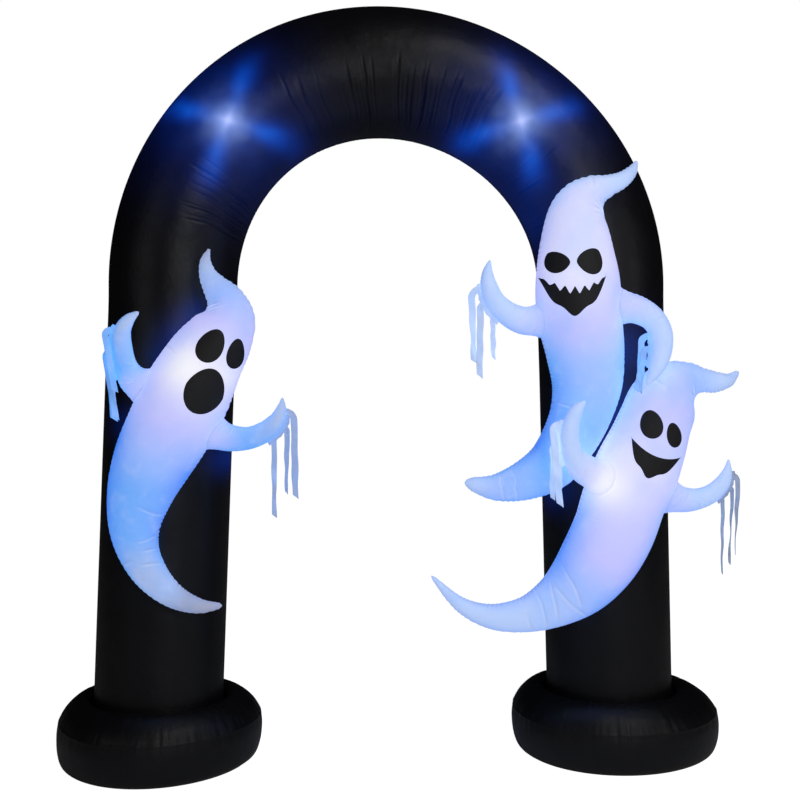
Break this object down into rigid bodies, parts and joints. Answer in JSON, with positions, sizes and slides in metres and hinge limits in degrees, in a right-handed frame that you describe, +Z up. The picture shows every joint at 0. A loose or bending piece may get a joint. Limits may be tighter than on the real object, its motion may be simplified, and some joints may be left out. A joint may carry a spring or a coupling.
{
  "type": "inflatable arch",
  "caption": "Walk-through inflatable arch of black cloth in ring bases, with pale hooded ghosts and hanging ribbons on its legs.",
  "frame": {"origin": "middle of the bounding box at floor level", "axes": "+Z up, +X from the left leg to the right leg as seen from the ghosts' side, -Y towards the viewer of the ghosts"},
  "size_m": [2.385, 0.9028, 2.675],
  "materials": {
    "black_nylon": "soft satin",
    "ghost_nylon": "soft satin, lit from inside"
  },
  "bodies": {
    "root": {"arch_tube": "black_nylon", "base_ring_left": "black_nylon", "base_ring_right": "black_nylon", "wailing_ghost_body": "ghost_nylon", "wailing_ghost_sleeve_inner": "ghost_nylon", "wailing_ghost_sleeve_outer": "ghost_nylon", "wailing_ghost_fringe_inner": "ghost_nylon", "wailing_ghost_fringe_outer": "ghost_nylon", "grinning_ghost_body": "ghost_nylon", "grinning_ghost_sleeve_inner": "ghost_nylon", "grinning_ghost_sleeve_outer": "ghost_nylon", "grinning_ghost_fringe_inner": "ghost_nylon", "grinning_ghost_fringe_outer": "ghost_nylon", "smiling_ghost_body": "ghost_nylon", "smiling_ghost_sleeve_inner": "ghost_nylon", "smiling_ghost_sleeve_outer": "ghost_nylon", "smiling_ghost_fringe_inner": "ghost_nylon", "smiling_ghost_fringe_outer": "ghost_nylon"}
  },
  "joints": []
}
